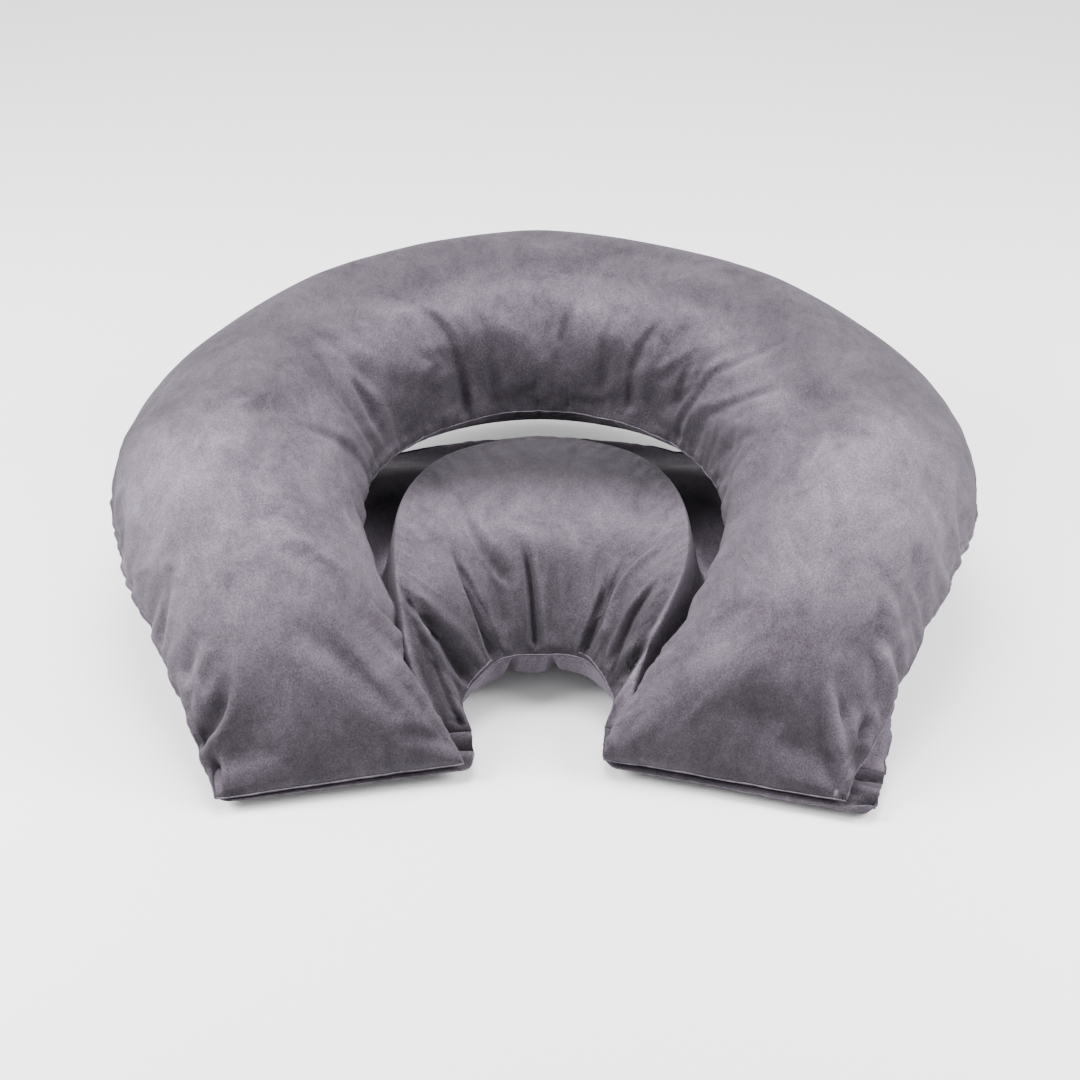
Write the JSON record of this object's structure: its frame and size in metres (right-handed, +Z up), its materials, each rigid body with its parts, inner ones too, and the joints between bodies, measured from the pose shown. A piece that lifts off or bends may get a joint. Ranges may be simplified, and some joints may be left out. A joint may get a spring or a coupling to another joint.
{
  "type": "u-shaped pillow",
  "caption": "Wide horseshoe cushion lying on a smaller U-shaped cushion that swells up in its hole, joined by cloth webs at the leg ends; supports an arm or a baby round the waist.",
  "frame": {"origin": "middle of the pillow's outline on the surface it rests on", "axes": "+X across the two legs, +Y from the leg ends towards the bow, +Z up"},
  "size_m": [0.9099, 0.786, 0.2975],
  "materials": {
    "upper_velvet": "brushed velvet, grey with a faint violet cast",
    "lower_velvet": "brushed velvet, grey with a faint violet cast",
    "hinge_velvet": "unfilled velvet, seam side"
  },
  "bodies": {
    "root": {"upper_cushion": "upper_velvet", "lower_cushion": "lower_velvet", "hinge_left": "hinge_velvet", "hinge_right": "hinge_velvet"}
  },
  "joints": []
}
